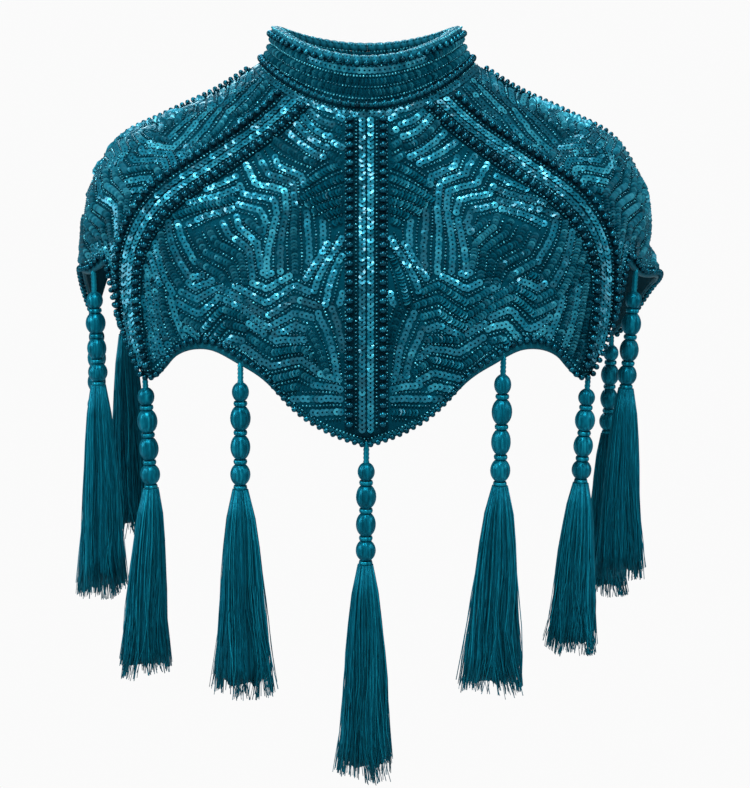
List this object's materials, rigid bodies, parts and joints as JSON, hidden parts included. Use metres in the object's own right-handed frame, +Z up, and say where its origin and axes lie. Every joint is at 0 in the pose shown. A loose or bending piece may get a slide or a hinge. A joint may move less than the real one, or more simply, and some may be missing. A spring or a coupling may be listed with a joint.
{
  "type": "beaded tassel capelet",
  "caption": "Short shoulder capelet of flared sequinned gores under pearl bands, with a beaded stand collar and a scalloped hem hung with ball tassels.",
  "frame": {"origin": "middle of the neck ring, at the height where the collar's foot crosses the side of the neck", "axes": "+Z up; the front faces -Y; +X is the wearer's left"},
  "size_m": [0.4439, 0.2772, 0.5244],
  "materials": {
    "sequinned_cloth": "dark teal net, sewn all over with sequins and seed beads",
    "sequins": "glossy flat teal sequins with a pale sheen",
    "seed_beads": "small lustred teal glass seed beads",
    "pearls": "dark teal pearls with a soft lustre, on braid of the same colour",
    "beaded_collar": "dark teal cloth covered with beads and stacked sequins",
    "tassel_silk": "teal silk thread, wrapped round the balls and loose in the skirts",
    "lining": "plain dark teal woven cloth"
  },
  "bodies": {
    "root": {"gore_front_left": "sequinned_cloth", "gore_side_left": "sequinned_cloth", "gore_rear_left": "sequinned_cloth", "gore_back_left": "sequinned_cloth", "gore_back_right": "sequinned_cloth", "gore_rear_right": "sequinned_cloth", "gore_side_right": "sequinned_cloth", "gore_front_right": "sequinned_cloth", "band_front": "pearls", "band_slant_left": "pearls", "band_shoulder_left": "pearls", "band_rear_left": "pearls", "band_rear_right": "pearls", "band_shoulder_right": "pearls", "band_slant_right": "pearls", "collar": "beaded_collar", "collar_roll": "beaded_collar", "neck_cord": "pearls", "collar_underlap": "lining", "back_underlap": "lining", "tassel_front": "tassel_silk", "tassel_front_left": "tassel_silk", "tassel_front_right": "tassel_silk", "tassel_slant_left": "tassel_silk", "tassel_slant_right": "tassel_silk", "tassel_side_left": "tassel_silk", "tassel_side_right": "tassel_silk", "tassel_shoulder_left": "tassel_silk", "tassel_shoulder_right": "tassel_silk", "tassel_rear_right": "tassel_silk"}
  },
  "joints": []
}
